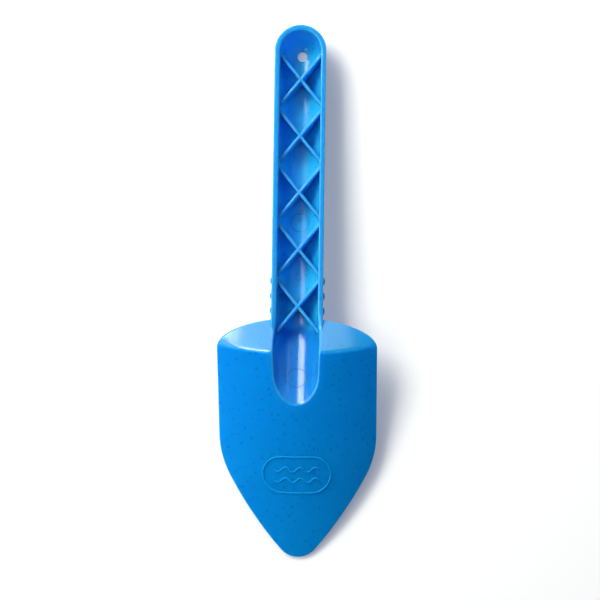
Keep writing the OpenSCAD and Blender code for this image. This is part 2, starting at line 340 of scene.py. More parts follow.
# plan places of the profile on the inner wall: round end, hang hole, handle, neck, trough side, trough end
def bodyStations():
    cornerY = rootCorner(bowRadius)[0]
    flankX = outerR / math.cos(draft) + (rootCorner(bowRadius)[1] - arcZ) * math.tan(draft)
    startX = flankX - body["junctionInset"]
    junctionY = cornerY + shovel["shoulderReach"] * math.sqrt(1 - (startX / bladeHalf) ** 2)
    rootY = arcY(halfWidth)
    swing = np.linspace(math.pi / 2, 0, body["endSteps"])
    hole = np.linspace(0, 1, body["holeSteps"] + 1)[1:]
    holeY = endY - body["holeSpread"] * hole
    handleY = np.linspace(holeY[-1], junctionY, int((holeY[-1] - junctionY) / body["handleStep"]))[1:]
    near, fine = body["fineBand"], body["fineSteps"]
    neckY = np.concatenate([np.linspace(junctionY, rootY + near, body["neckSteps"]),
                            np.linspace(rootY + near, rootY, fine)[1:]])
    sideY = np.concatenate([np.linspace(rootY, rootY - near, fine)[1:],
                            np.linspace(rootY - near, body["troughTurn"], body["sideSteps"])[1:]])
    fan = math.pi / 2 * (1 - np.linspace(0, 1, body["fanSteps"])[1:]) ** body["fanEase"]
    return swing, hole, handleY, neckY, sideY, fan, startX, junctionY, rootY


# far end of a line on the channel surface at a given reach, as distance along the section and y
def lineAt(y, turn, reach):
    return reach * np.sin(turn), y - reach * np.cos(turn)


# points of a line over the plan between two ends, bent in y as a parabola and laid on a height
def overPlan(a, b, t, height, sag):
    p = lerp(a[:, None], b[:, None], t[..., None])
    p[..., 1] += sag[:, None] * t * (1 - t)
    p[..., 2] = height(p[..., 0], p[..., 1])
    return p


# rub along a rounding: the root of a sine, nothing at both ends
def rub(points):
    return np.sin(np.linspace(0, math.pi, points.shape[1])) ** 0.5


# the profile at every station as one grid, with its marks, mirrored to the other side
def bodySkin():
    swing, hole, handleY, neckY, sideY, fan, startX, junctionY, rootY = bodyStations()
    stretches = (swing, hole, handleY, neckY, sideY, fan)
    iHole, iHandle, iNeck, iSide, iFan, total = np.cumsum([len(places) for places in stretches])
    station = np.arange(total)
    holeY = endY - body["holeSpread"] * hole
    swings = np.concatenate([swing, np.zeros(total - iHole)])
    yIn = np.concatenate([np.full(iHole, endY), holeY, handleY, neckY, sideY,
                          np.full(len(fan), body["troughTurn"])])
    fanIn = np.concatenate([np.full(iFan, math.pi / 2), fan])
    # the outer wall has its own places: set back at the shoulder's lower edge, turning earlier at the nose
    cornerIn = rootCorner(underRadius)[0]
    lowJunction = cornerIn + underReach * math.sqrt(1 - (startX / bladeHalf) ** 2)
    yOut = yIn.copy()
    yOut[:iNeck] -= (junctionY - lowJunction) * smooth(1 - (yIn[:iNeck] - junctionY) / body["setbackRun"])
    lowRoot = rootY - body["lowRoot"]
    yOut[iNeck:iSide] = lowJunction + (lowRoot - lowJunction) * (junctionY - neckY) / (junctionY - rootY)
    yOut[iSide:iFan] = lowRoot + (body["noseTurn"] - lowRoot) * (rootY - sideY) / (rootY - body["troughTurn"])
    yOut[iFan:] = body["noseTurn"]

    isHole = station < iHandle
    holeTurn = np.concatenate([np.zeros(iHole), -math.pi / 2 * hole, np.full(total - iHandle, -math.pi / 2)])
    onFlange = station >= iNeck

    # start of a profile line on the floor: the hole's edge, or the middle of the channel just past it
    def floorStart(radius, y):
        x = body["holeRadius"] * np.cos(holeTurn)
        along = np.where(isHole, radius * np.arcsin(np.maximum(x, 0) / radius), 0.0)
        fade = 1 - smooth((endY - body["holeSpread"] - y) / body["holeFade"])
        past = y + (body["holeSpread"] - body["holeRadius"]) * fade
        start = np.where(isHole, endY + body["holeRadius"] * np.sin(holeTurn), past)
        start = np.where(station < iHole, endY, start)
        return along, np.where(onFlange, y, start)

    # point of the channel surface at the far end of a line
    def wallPoint(radius, y, turn, reach):
        along, place = lineAt(y, turn, reach)
        return channelPoint(radius, along, place, swings)

    # reach at which a line comes up to a height over the plan
    def meet(radius, y, turn, height):
        def below(reach):
            p = wallPoint(radius, y, turn, reach)
            return p[:, 2] < height(p[:, 0], p[:, 1])
        return crossing(below, np.full(total, body["reach"]))

    plainUpper, plainLower = rootCorner(bowRadius)[1], rootCorner(underRadius)[1]
    square = np.full(total, math.pi / 2)
    reachLip = meet(innerR, yIn, fanIn, wallTop)
    reachRim = meet(outerR, yIn, square, wallTop)
    reachFoot = meet(outerR, yIn, square, lambda x, y: np.where(onFlange, backHeight(x, y), plainUpper))
    reachFoot = np.minimum(reachRim, reachFoot)
    reachLow = meet(outerR, yOut, fanIn, lambda x, y: np.where(onFlange, underHeight(x, y), plainLower))
    lip = wallPoint(innerR, yIn, fanIn, reachLip)
    rim = wallPoint(outerR, yIn, square, reachRim)
    foot = wallPoint(outerR, yIn, square, reachFoot)
    low = wallPoint(outerR, yOut, fanIn, reachLow)

    # outer edge of the flange: by share of the oval, by y along the side, by angle round the trough's end
    upper, lower = outerEdge(startX)
    length = np.concatenate([[0], np.cumsum(np.linalg.norm(np.diff(upper, axis=0), axis=1))])
    pick = np.zeros(total)
    cornerY = rootCorner(bowRadius)[0]

    def atY(y):
        return np.interp(-y, -upper[:, 1], length)

    pick[iNeck:iSide] = atY(cornerY) * (junctionY - neckY) / (junctionY - rootY)
    pick[iSide:iFan] = atY(lerp(cornerY, body["troughTurn"], (rootY - sideY) / (rootY - body["troughTurn"])))
    around = np.arctan2(upper[:, 0], -(upper[:, 1] - body["troughTurn"]))
    tail = np.arange(len(upper)) >= np.argmax(around <= math.pi / 2)
    pick[iFan:] = np.interp(-fan, -around[tail], length[tail])
    top = np.stack([np.interp(pick, length, upper[:, k]) for k in range(3)], -1)
    base = np.stack([np.interp(pick, length, lower[:, k]) for k in range(3)], -1)
    top[:iNeck], base[:iNeck] = foot[:iNeck], low[:iNeck]

    # on the blade the rim is only a narrow band beside the lip
    outward = unit((top - lip) * [1, 1, 0])
    band = lip + outward * body["lipBand"]
    band[:, 2] = wallTop(band[:, 0], band[:, 1])
    blade = smooth((rootY + body["bandFrom"] - yIn) / body["bandRun"])[:, None]
    rim = np.where(onFlange[:, None], lerp(rim, band, blade), rim)
    foot = np.where(onFlange[:, None], lerp(foot, band, blade), foot)

    drop, flange, under = apart(rim, foot), apart(foot, top), apart(low, base)
    # roundings: the lip's changes along y, and each gets smaller where its surface is narrow
    lipRound = lerp(body["innerRound"], body["neckRound"], smooth((body["neckFrom"] - yIn) / body["neckRun"]))
    lipRound = lerp(lipRound, body["lipRound"], smooth((body["lipFrom"] - yIn) / body["lipRun"]))
    lipRound = np.minimum(lipRound, body["lipShare"] * reachLip)
    rimRound = np.where(onFlange, np.minimum(body["rimRound"], body["wallShare"] * drop), body["rimRound"])
    footRound = np.minimum(body["footRound"], body["wallShare"] * drop)
    footRound = np.where(onFlange, np.minimum(footRound, body["flangeShare"] * flange), 0)
    edgeRound = np.minimum(body["edgeRound"], body["flangeShare"] * flange)
    underRound = np.where(onFlange, np.minimum(body["underRound"], body["flangeShare"] * under), 0)

    # bend of the lines so that one of them follows the blade's end arc
    sagY = arcY((halfWidth + bladeHalf) / 2) - (arcY(halfWidth) + arcY(bladeHalf)) / 2
    bend = 4 * sagY * np.exp(-((yIn - rootY) / body["bendRun"]) ** 2) * onFlange

    # stretches of the profile, with the marks that the material reads
    parts, wearAndLight, gloss, paintedChannelLight = [], [], [], []

    # inside: share of the painted light, a lighter tone painted inside the channel
    def add(points, wornAndLit=0.0, polished=0.0, inside=0.0):
        parts.append(points)
        for marks, value in ((wearAndLight, wornAndLit), (gloss, polished), (paintedChannelLight, inside)):
            marks.append(np.broadcast_to(value, points.shape[:2]))

    # line along the channel floor and up the wall, short of its end by a trim
    def floorLine(radius, y, reach, trim):
        along0, y0 = floorStart(radius, y)
        along1, y1 = lineAt(y, fanIn, reach - trim)
        t = np.linspace(0, 1, body["floorSteps"])[None, :]
        ease = np.where((station < iFan)[:, None], smooth(t * body["floorEase"]), t)
        along = lerp(along0[:, None], along1[:, None], t)
        place = lerp(y0[:, None], y1[:, None], ease)
        return channelPoint(radius, along, place, swings[:, None])

    inner = floorLine(innerR, yIn, reachLip, lipRound)
    outer = floorLine(outerR, yOut, reachLow, underRound)
    steps = body["roundSteps"]

    # hole: half of its wall, then a small rounding onto the floor; the other profiles start at one point
    def holeWall(floor, otherFloor):
        centre = np.array([0, endY, 0])
        out = unit((floor[:, 0] - centre) * [1, 1, 0])
        corner = centre + out * body["holeRadius"]
        corner[:, 2] = floor[:, 0, 2]
        middle = corner.copy()
        middle[:, 2] = (floor[:, 0, 2] + otherFloor[:, 0, 2]) / 2
        before = corner + unit(middle - corner) * body["holeEdge"]
        curve = rounding(before, corner, floor[:, 1], steps["hole"])[:, :-1]
        curve = np.concatenate([middle[:, None], curve], 1)
        return np.where(isHole[:, None, None], curve, floor[:, :1])

    # hole wall and channel floor carry the full painted channel light
    add(holeWall(inner, outer), body["holeWear"] * isHole[:, None], 1.0, 1.0)
    add(inner[:, 1:], polished=1.0, inside=1.0)

    # rim: a flat band between the lip's rounding and the outer one, laid on the top of the wall
    rimWide = apart(lip, rim)
    rimT = spread(np.clip(shareOf(lipRound, rimWide), 0, body["rimShares"][0]),
                  1 - np.clip(shareOf(rimRound, rimWide), 0, body["rimShares"][1]), body["rimSteps"])
    rimFlat = np.where((swings > 0)[:, None, None], lerp(lip[:, None], rim[:, None], rimT[..., None]),
                       overPlan(lip, rim, rimT, wallTop, np.zeros(total)))
    curve = rounding(inner[:, -1], lip, rimFlat[:, 0], steps["lip"])[:, 1:-1]
    # the lip's rounding carries the painted channel light, fading outwards
    add(curve, rub(curve), 1.0, np.linspace(body["lipInside"], 0, curve.shape[1]))
    onHandle = smooth((yIn - rootY + body["matteFrom"]) / body["matteRun"])[:, None]
    # the rim's flat top is lighter: partly wear, partly painted light on its upward face
    add(rimFlat, body["rimWearAndLight"], onHandle)

    # outside of the wall, down to the shoulder or the blade
    wallA = lerp(rim, foot, shareOf(rimRound, drop)[:, None].clip(0, 0.5))
    wallB = lerp(foot, rim, shareOf(footRound, drop)[:, None].clip(0, 0.5))
    curve = rounding(rimFlat[:, -1], rim, wallA, steps["rim"])[:, 1:]
    add(curve, rub(curve), onHandle)
    add(wallB[:, None])

    # back: its fall below the plain bow is nothing on the blade and a quarter of the softness on the ridge
    tA, tB = shareOf(footRound, flange), 1 - shareOf(edgeRound, flange)
    back = overPlan(foot, top, spread(tA, np.maximum(tB, tA), body["backSteps"]), backHeight, bend)
    back = np.where(onFlange[:, None, None], back, foot[:, None])
    fallen = bladeHeight(np.clip(back[..., 0], 0, bladeHalf), back[..., 1], bowRadius) - back[..., 2]
    onShoulder = smooth((fallen - body["glossFrom"]) / body["glossRun"]) * onFlange[:, None]
    # painted highlight: a narrow lighter band along the ridge line, where its shine falls
    ridgeHighlightBand = np.exp(-((fallen - ridgeSoft / 4) / body["ridgeHighlightWide"]) ** 2) * onFlange[:, None]
    add(rounding(wallB, foot, back[:, 0], steps["foot"])[:, 1:-1])
    add(back, body["ridgeHighlight"] * ridgeHighlightBand, onShoulder)

    # outer edge, underside and the way back to the hole
    edgeT = shareOf(edgeRound, apart(top, base))[:, None]
    edgeA, edgeB = lerp(top, base, edgeT), lerp(base, top, edgeT)
    lowA, lowB = shareOf(edgeRound, under), 1 - shareOf(underRound, under)
    lowT = spread(lowA.clip(0, 0.5), lowB.clip(0.5, 1), body["underSteps"])
    below = overPlan(base, low, lowT, underHeight, bend)
    below = np.where(onFlange[:, None, None], below, low[:, None])
    for curve in (rounding(back[:, -1], top, edgeA, steps["edge"])[:, 1:],
                  rounding(edgeB, base, below[:, 0], steps["edge"])):
        add(curve, rub(curve))
    add(below[:, 1:])
    add(rounding(below[:, -1], low, outer[:, -1], steps["under"])[:, 1:-1])
    add(outer[:, :0:-1])
    add(holeWall(outer, inner)[:, ::-1], body["holeWear"])

    half = np.concatenate(parts, 1)
    half[[0, -1], :, 0] = 0
    rows, cols = half.shape[:2]
    wearAndLight, gloss, paintedChannelLight = (np.tile(np.concatenate(marks, 1).ravel(), 2) for marks in (wearAndLight, gloss, paintedChannelLight))
    # in the trough the painted channel light gives way to a slightly darker tone, painted shade
    ramp = np.tile(smooth((body["troughFrom"] - half[..., 1]) / body["troughRun"]).ravel(), 2)
    flat = half.reshape(-1, 3)
    faces = gridFaces(rows, cols)
    faces = faces[flat[faces][:, :, 0].max(1) > tiny]  # no face lies in the mirror plane
    mirrored = flat * [-1, 1, 1]
    allFaces = np.concatenate([faces, faces[:, ::-1] + len(flat)])
    return np.concatenate([flat, mirrored]), allFaces, wearAndLight, gloss, paintedChannelLight, paintedChannelLight * ramp


shovelBody = makePiece("shovelBody", *bodySkin())
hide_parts("handle_channel", "handle_end", "neck_channel", "trough_nose",
            "blade_shell", "shoulder_left", "shoulder_right")


# crossed ribs in the channel: each arm is a round-topped strip carried from wall to wall,
# its lower edge sunk a little into the floor; one arm lies a hair lower, so that no two faces coincide
ribs = {"first": 24.9, "last": 21.6, "gap": 3.8, "drop": 5.3, "thick": 1.3, "foot": 1.7, "sink": 0.5,
        "topRound": 0.32, "lean": 0.06, "leanShare": 0.6, "endTall": 0.6, "step": 0.012, "lowStep": 0.096,
        "reach": 25.0, "steps": 81, "roundSteps": 6, "count": 5, "sharp": 35.0}
ribPitch = (shovel["handleLength"] - ribs["first"] - ribs["last"]) / (ribs["count"] - 1)


# floor height under a point of the plan for a channel radius
def floorHeight(x, y, radius):
    x = np.abs(x)
    bendX = radius * math.cos(draft)
    arc = -np.sqrt(np.maximum(radius ** 2 - np.minimum(x, bendX) ** 2, 0))
    return rampHeight(arc + np.maximum(x - bendX, 0) / math.tan(draft), y)


# one arm: the strip's profile at stations that crowd towards both ends, which lie inside the wall
def ribArm(name, middleY, side):
    lower = side < 0
    topZ = -ribs["drop"] - ribs["step"] * lower
    flankX = innerR / math.cos(draft) + (topZ - arcZ) * math.tan(draft)
    heading = unit(np.array([flankX, side * (ribPitch - ribs["gap"]) / 2]))
    radius = innerR + ribs["sink"] + ribs["lowStep"] * lower
    ends = []
    for way in (-1, 1):
        reach = crossing(lambda d: floorHeight(way * d * heading[0], middleY + way * d * heading[1], radius)
                         < topZ, np.array([ribs["reach"]]))
        ends.append(way * reach[0])
    t = (1 - np.cos(np.linspace(0, math.pi, ribs["steps"] - lower))) / 2
    along = lerp(ends[0], ends[1], t)
    x, y = along * heading[0], middleY + along * heading[1]
    foot = np.minimum(floorHeight(x, y, radius), topZ - ribs["endTall"])
    # half of the profile, foot, side and rounding: distance across, share of the height, fall from the top
    turn = np.linspace(0, math.pi / 2, ribs["roundSteps"])
    footHalf, half, r = ribs["foot"] / 2, ribs["thick"] / 2, ribs["topRound"]
    across = np.concatenate([[footHalf, footHalf - ribs["lean"]], half - r + r * np.cos(turn)])
    down = np.concatenate([[1.0, ribs["leanShare"]], np.zeros_like(turn)])
    fall = np.concatenate([[0, 0], r * (1 - np.sin(turn))])
    across = np.concatenate([across, -across[::-1]])
    down, fall = (np.concatenate([a, a[::-1]]) for a in (down, fall))
    tall = (topZ - foot)[:, None]
    z = topZ - np.minimum(fall[None, :], tall) * (1 - down) - tall * down
    points = np.stack([x[:, None] - across * heading[1], y[:, None] + across * heading[0], z], -1)
    closeEnds(points)
    return makePiece(name, points, gridFaces(len(t), len(across), closeCols=True), gloss=1.0)


# two arms made one mesh
def crossRib(k):
    middleY = shovel["handleLength"] - ribs["first"] - k * ribPitch
    name = "crossRib%d" % (k + 1)
    first, second = ribArm(name, middleY, 1), ribArm(name + "b", middleY, -1)
    join = first.modifiers.new("crossing", "BOOLEAN")
    join.operation, join.object, join.solver = "UNION", second, "EXACT"
    bpy.context.view_layer.update()
    mesh = bpy.data.meshes.new_from_object(first.evaluated_get(bpy.context.evaluated_depsgraph_get()))
    first.modifiers.clear()
    first.data = mesh
    bpy.data.objects.remove(second)
    shade(mesh, ribs["sharp"])
    return first


crossRibs = []
for k in range(ribs["count"]):
    rib = crossRib(k)
    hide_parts("cross_rib_%d" % (k + 1))
    crossRibs.append(rib)


# grip ridges round the underside: a low round bead carried along the outer section, running out at its ends
grip = {"first": 19.3, "pitch": 6.9, "count": 3, "line": 3.4, "height": 0.78, "drop": 0.9, "sink": 0.3,
        "seat": 0.02, "runOut": 1.2, "power": 1.3, "footShare": 1.0,
        "steps": 141, "roundSteps": 15, "sharp": 50.0}


def gripRidge(k):
    bend = outerR * (math.pi / 2 - draft)
    last = bend + (-grip["drop"] - (arcZ - outerR * math.sin(draft))) / math.cos(draft)
    s = np.linspace(-1, 1, grip["steps"]) * last
    x, h = sectionAt(outerR, np.abs(s))
    turn = np.minimum(np.abs(s), bend) / outerR  # the straight flanks keep the arc's last direction
    across, lift = beadSection(grip)
    fade = np.sqrt(np.clip((last - np.abs(s)) / grip["runOut"], 0, 1))[:, None]
    out = np.where(lift > 0, lift * fade, lift) - grip["seat"]
    points = np.stack([np.sign(s)[:, None] * (x[:, None] + np.sin(turn)[:, None] * out),
                       np.broadcast_to(grip["first"] + k * grip["pitch"] + across, out.shape),
                       (arcZ + h)[:, None] - np.cos(turn)[:, None] * out], -1)
    closeEnds(points)
    return makePiece("gripRidge%d" % (k + 1), points, gridFaces(len(s), len(across), closeCols=True),
                     sharp=grip["sharp"])


gripRidges = []
for k in range(grip["count"]):
    ridge = gripRidge(k)
    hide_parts("grip_ridge_%d" % (k + 1))
    gripRidges.append(ridge)


# raised lines on the blade back: a low round bead carried along a line drawn on the blade
emblem = {"length": 33.0, "width": 19.0, "place": 42.0, "height": 0.38, "line": 1.0, "sink": 0.25,
          "waveLength": 21.0, "wavePitch": 7.0, "waveHeight": 1.1, "waveGap": 5.4,
          "power": 0.8, "footShare": 0.9, "endShare": 0.02, "wornAndLit": 0.6, "wornAndLitPower": 3.75,
          "turnSteps": 41, "flatSteps": 31, "waveSteps": 121, "roundSteps": 11, "sharp": 55.0}


# point of the blade back by distance across, distance from the point and height above it
def onBlade(u, v, lift):
    turn = u / bowRadius
    r = bowRadius + lift
    x, w = r * np.sin(turn), r * np.cos(turn) - bowRadius
    along = v - bladeLength
    return np.stack(np.broadcast_arrays(x, along * math.cos(pitch) - w * math.sin(pitch),
                                        rootRise + along * math.sin(pitch) + w * math.cos(pitch)), -1)


# bead along a line of the blade: its section across the line's direction, running out at open ends
def bead(name, u, v, closed):
    if closed:
        du, dv = (np.roll(a, -1) - np.roll(a, 1) for a in (u, v))
        fade = np.ones_like(u)
    else:
        du, dv = np.gradient(u), np.gradient(v)
        run = np.cumsum(np.hypot(du, dv))
        fade = np.sqrt(np.clip(np.minimum(run - run[0], run[-1] - run) / (emblem["line"] / 2), 0, 1))
    size = np.hypot(du, dv)
    sideU, sideV = -dv / size, du / size
    across, lift = beadSection(emblem)
    wide = across[None, :] * np.maximum(fade, emblem["endShare"])[:, None]
    tall = np.where(lift > 0, lift[None, :] * fade[:, None], lift[None, :])
    points = onBlade(u[:, None] + sideU[:, None] * wide, v[:, None] + sideV[:, None] * wide, tall)
    if not closed:
        closeEnds(points)
    # tops of the raised lines lighter: partly wear, partly painted highlight
    wornAndLit = emblem["wornAndLit"] * (np.maximum(lift, 0) / emblem["height"]) ** emblem["wornAndLitPower"]
    return makePiece(name, points, gridFaces(len(u), len(across), closed, True),
                     wearAndHighlight=np.tile(wornAndLit, len(u)), sharp=emblem["sharp"])


# border: two half circles joined by straight lines; waves: two sines, one above the other
def emblemPieces():
    r = (emblem["width"] - emblem["line"]) / 2
    straight = (emblem["length"] - emblem["width"]) / 2
    turn = np.linspace(-math.pi / 2, math.pi / 2, emblem["turnSteps"])
    flat = np.linspace(-straight, straight, emblem["flatSteps"])[1:-1]
    u = np.concatenate([straight + r * np.cos(turn), -flat, -straight - r * np.cos(turn), flat])
    v = np.concatenate([r * np.sin(turn), np.full(len(flat), r), -r * np.sin(turn), np.full(len(flat), -r)])
    made = [bead("emblemBorder", u, emblem["place"] + v, True)]
    x = np.linspace(-1, 1, emblem["waveSteps"]) * emblem["waveLength"] / 2
    wave = emblem["waveHeight"] * np.sin(2 * math.pi * x / emblem["wavePitch"])
    for number, way in ((1, 1), (2, -1)):
        middle = emblem["place"] + way * emblem["waveGap"] / 2
        made.append(bead("emblemWave%d" % number, x, middle + wave, False))
    return made


emblemParts = emblemPieces()
for piece, node in zip(emblemParts, ("emblem_border", "emblem_wave_1", "emblem_wave_2")):
    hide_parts(node)


# witness rings left on the channel floor by the mould's pins: thin beads round a circle on the floor
pins = {"places": (61.8, -11.6), "radius": 4.3, "line": 0.36, "height": 0.14, "sink": 0.15,
        "power": 1.0, "footShare": 1.0, "steps": 96, "roundSteps": 7, "sharp": 60.0}


def pinRing(number, middleY):
    turn = np.linspace(0, 2 * math.pi, pins["steps"], endpoint=False)[:, None]
    across, lift = beadSection(pins)
    r = pins["radius"] + across[None, :]
    s, y = r * np.sin(turn), middleY + r * np.cos(turn)
    radius = innerR - lift[None, :]
    points = channelPoint(radius, np.abs(s) * radius / innerR, y)
    points[..., 0] *= np.sign(s)
    # the rings take the pin tones: painted shade, darker than the floor round them
    return makePiece("pinRing%d" % number, points, gridFaces(len(turn), len(across), True, True),
                     gloss=1.0, paintedChannelLight=1.0, trough=float(middleY < 0), sharp=pins["sharp"])


pinRings = [pinRing(n + 1, y) for n, y in enumerate(pins["places"])]


# mark of the moulding gate beside the hole: a low round pip standing on the round floor of the handle end
gate = {"place": (1.65, 3.05), "radius": 1.0, "height": 0.28, "sink": 0.4, "steps": 32, "sharp": 60.0,
        "radiusShares": (0.0, 0.35, 0.65, 0.85, 0.96, 1.0, 0.9, 0.0),
        "heightShares": (1.0, 0.99, 0.93, 0.75, 0.45, 0.0)}


def gateMark():
    far = math.hypot(*gate["place"])
    lean = math.asin(far / innerR)
    out = np.array([gate["place"][0] / far, gate["place"][1] / far, 0])
    up = np.array([0, 0, 1.0])
    normal = up * math.cos(lean) - out * math.sin(lean)
    along = out * math.cos(lean) + up * math.sin(lean)
    across = np.cross(normal, along)
    centre = np.array([0, endY, arcZ]) - normal * innerR
    turn = np.linspace(0, 2 * math.pi, gate["steps"], endpoint=False)
    r = np.array(gate["radiusShares"]) * gate["radius"]
    h = np.concatenate([np.array(gate["heightShares"]) * gate["height"], [-gate["sink"]] * 2])
    points = (centre + (r[:, None] * np.cos(turn))[..., None] * along
              + (r[:, None] * np.sin(turn))[..., None] * across + h[:, None, None] * normal)
    # the pip takes the painted channel light of the floor round it
    return makePiece("gateMark", points, gridFaces(len(r), len(turn), closeCols=True),
                     wearAndHighlight=1.0, gloss=1.0, paintedChannelLight=1.0, sharp=gate["sharp"])


gatePip = gateMark()


# inputs of a node: each takes a value, or a link from a socket
def setInputs(tree, node, inputs):
    for key, value in inputs.items():
        if isinstance(value, bpy.types.NodeSocket):
            tree.links.new(value, node.inputs[key])
        else:
            node.inputs[key].default_value = value


def addNode(tree, kind, inputs=None, **settings):
    node = tree.nodes.new(kind)
    for key, value in settings.items():
        setattr(node, key, value)
    setInputs(tree, node, inputs or {})
    return node


# outputs of a math node on two numbers or sockets, and of a mix of two colours or sockets
def mathNode(tree, operation, a, b, clamp=False):
    return addNode(tree, "ShaderNodeMath", {0: a, 1: b}, operation=operation, use_clamp=clamp).outputs[0]


def mixColor(tree, factor, a, b):
    a, b = (value if isinstance(value, bpy.types.NodeSocket) else (*value, 1.0) for value in (a, b))
    return addNode(tree, "ShaderNodeMix", {0: factor, 6: a, 7: b}, data_type="RGBA").outputs[2]


# an empty shader group with a vector and some numbers going in; only masks and values leave it
def newGroup(name, numbers, outputs):
    group = bpy.data.node_groups.new(name, "ShaderNodeTree")
    group.interface.new_socket(name="Vector", in_out="INPUT", socket_type="NodeSocketVector")
    for label, value in numbers.items():
        socket = group.interface.new_socket(name=label, in_out="INPUT", socket_type="NodeSocketFloat")
        socket.default_value = value
    for label in outputs:
        group.interface.new_socket(name=label, in_out="OUTPUT", socket_type="NodeSocketFloat")
    return group, group.nodes.new("NodeGroupInput").outputs


# specks of pigment: in some of the cells of a cell pattern, a small soft dot
specks = {"sockets": {"Scale": 430.0, "Size": 0.36, "Share": 0.4}, "growth": 0.9, "least": 0.25,
          "sharpness": 6.0, "wobble": 0.0009, "wobbleNoise": {"Scale": 900.0, "Detail": 2.0}}


def speckGroup():
    tree, source = newGroup("pigmentSpecks", specks["sockets"], ["Mask"])
    wobble = addNode(tree, "ShaderNodeTexNoise", {"Vector": source["Vector"], **specks["wobbleNoise"]})
    shift = addNode(tree, "ShaderNodeVectorMath", {0: wobble.outputs["Color"], 1: (specks["wobble"],) * 3,
                                                   2: source["Vector"]}, operation="MULTIPLY_ADD")
    cells = addNode(tree, "ShaderNodeTexVoronoi", {"Vector": shift.outputs[0], "Scale": source["Scale"]},
                    feature="F1").outputs
    chance = addNode(tree, "ShaderNodeSeparateColor", {0: cells["Color"]}).outputs
    growth = mathNode(tree, "MULTIPLY", chance[1], specks["growth"])
    grown = mathNode(tree, "MULTIPLY", source["Size"], mathNode(tree, "ADD", growth, specks["least"]))
    dot = mathNode(tree, "SUBTRACT", grown, cells["Distance"])
    dot = mathNode(tree, "MULTIPLY", dot, specks["sharpness"], True)
    picked = mathNode(tree, "LESS_THAN", chance[0], source["Share"])
    addNode(tree, "NodeGroupOutput", {"Mask": mathNode(tree, "MULTIPLY", dot, picked)})
    return tree


# grain of the moulded skin: fine noise for the bump, broad noise for gloss and tone
grain = {"sockets": {"Fine": 2600.0, "Broad": 60.0}, "fineNoise": {"Detail": 3.0, "Roughness": 0.6},
         "broadNoise": {"Detail": 4.0, "Roughness": 0.55}, "broadShare": 0.6}


def grainGroup():
    tree, source = newGroup("mouldGrain", grain["sockets"], ["Height", "Cloud"])
    fine, broad = (addNode(tree, "ShaderNodeTexNoise", {"Vector": source["Vector"], "Scale": source[scale],
                                                        **grain[noise]}).outputs[0]
                   for scale, noise in (("Fine", "fineNoise"), ("Broad", "broadNoise")))
    height = mathNode(tree, "ADD", fine, mathNode(tree, "MULTIPLY", broad, grain["broadShare"]))
    addNode(tree, "NodeGroupOutput", {"Height": height, "Cloud": broad})
    return tree


# worn edges and painted highlights: the mesh's own edge value, broken up by noise; it lightens real rubbed
# edges and also paints lighter lines and tops where light falls
wearAndLightNoise = {"sockets": {"Edge": 0.0, "Amount": 0.5}, "from": 0.36, "gain": 3.2,
           "noise": {"Scale": 420.0, "Detail": 3.0, "Roughness": 0.6}}


def wearAndLightGroup():
    tree, source = newGroup("wearAndHighlight", wearAndLightNoise["sockets"], ["Mask"])
    noise = addNode(tree, "ShaderNodeTexNoise", {"Vector": source["Vector"], **wearAndLightNoise["noise"]})
    broken = mathNode(tree, "SUBTRACT", noise.outputs[0], wearAndLightNoise["from"])
    broken = mathNode(tree, "MULTIPLY", broken, wearAndLightNoise["gain"], True)
    mask = mathNode(tree, "MULTIPLY", broken, source["Edge"])
    addNode(tree, "NodeGroupOutput", {"Mask": mathNode(tree, "MULTIPLY", mask, source["Amount"], True)})
    return tree


groups = {"specks": speckGroup(), "grain": grainGroup(), "wearAndLight": wearAndLightGroup()}
print("shader groups made:", ", ".join(groups))

# the blue plastic, and the ribs' paler one; the gloss tone goes where the mesh has that mark, a much lighter
# tone inside the channel as painted light, and a slightly darker tone in the trough as painted shade
plastics = {
    "bluePlastic": {"base": (0.0, 0.236, 0.65), "deep": (0.0, 0.206, 0.59), "speck": (0.0, 0.10, 0.34),
                    # channel tone: a much lighter blue painted inside the channel, painted light; trough
                    # tone: slightly darker, painted shade
                    "glossTone": (0.006, 0.25, 0.56), "paintedChannelLightTone": (0.02, 0.43, 0.82),
                    # worn tone: lighter blue for rubbed edges and for painted highlights on rim tops, the
                    # ridge line and raised lines
                    "troughTone": (0.006, 0.205, 0.58), "wornAndLit": (0.02, 0.36, 0.76), "wearAndLight": 0.6,
                    "speckShare": 0.85, "speckBlend": 0.48, "rough": (0.40, 0.52), "glossRough": -0.12,
                    "bump": 0.05, "scatter": 0.8},
    "bluePlasticRib": {"base": (0.0, 0.33, 0.76), "deep": (0.0, 0.29, 0.72), "speck": (0.0, 0.15, 0.45),
                       "glossTone": (0.02, 0.285, 0.70), "paintedChannelLightTone": (0.02, 0.285, 0.70),
                       "troughTone": (0.02, 0.285, 0.70), "wornAndLit": (0.02, 0.40, 0.82), "wearAndLight": 0.3,
                       "speckShare": 0.2, "speckBlend": 0.3, "rough": (0.30, 0.40), "glossRough": 0.0,
                       "bump": 0.03, "scatter": 0.8},
}
# thin raised marks carry no deep light; the grip ridges make up for it with a bluer tone
trim = dict(plastics["bluePlastic"], scatter=0.0)
plastics["bluePlasticTrim"] = trim
# pin rings: darker channel and trough tones, painted shade of the rings' small step
plastics["bluePlasticPinShade"] = dict(trim, paintedChannelLightTone=(0.0, 0.27, 0.58), troughTone=(0.0, 0.13, 0.40))
plastics["bluePlasticRidge"] = dict(trim, base=(0.0, 0.215, 0.74), deep=(0.0, 0.188, 0.68))

# for all of them: depth of the grain in metres, share of the specks that gloss hides, the shader's constants
skin = {"grainDepth": 0.0003, "glossHides": 0.35,
        "sockets": {"IOR": 1.1, "Coat Roughness": 0.16, "Coat IOR": 1.5, "Subsurface Scale": 0.008,
                    "Subsurface Radius": (0.1, 0.6, 1.0)}}
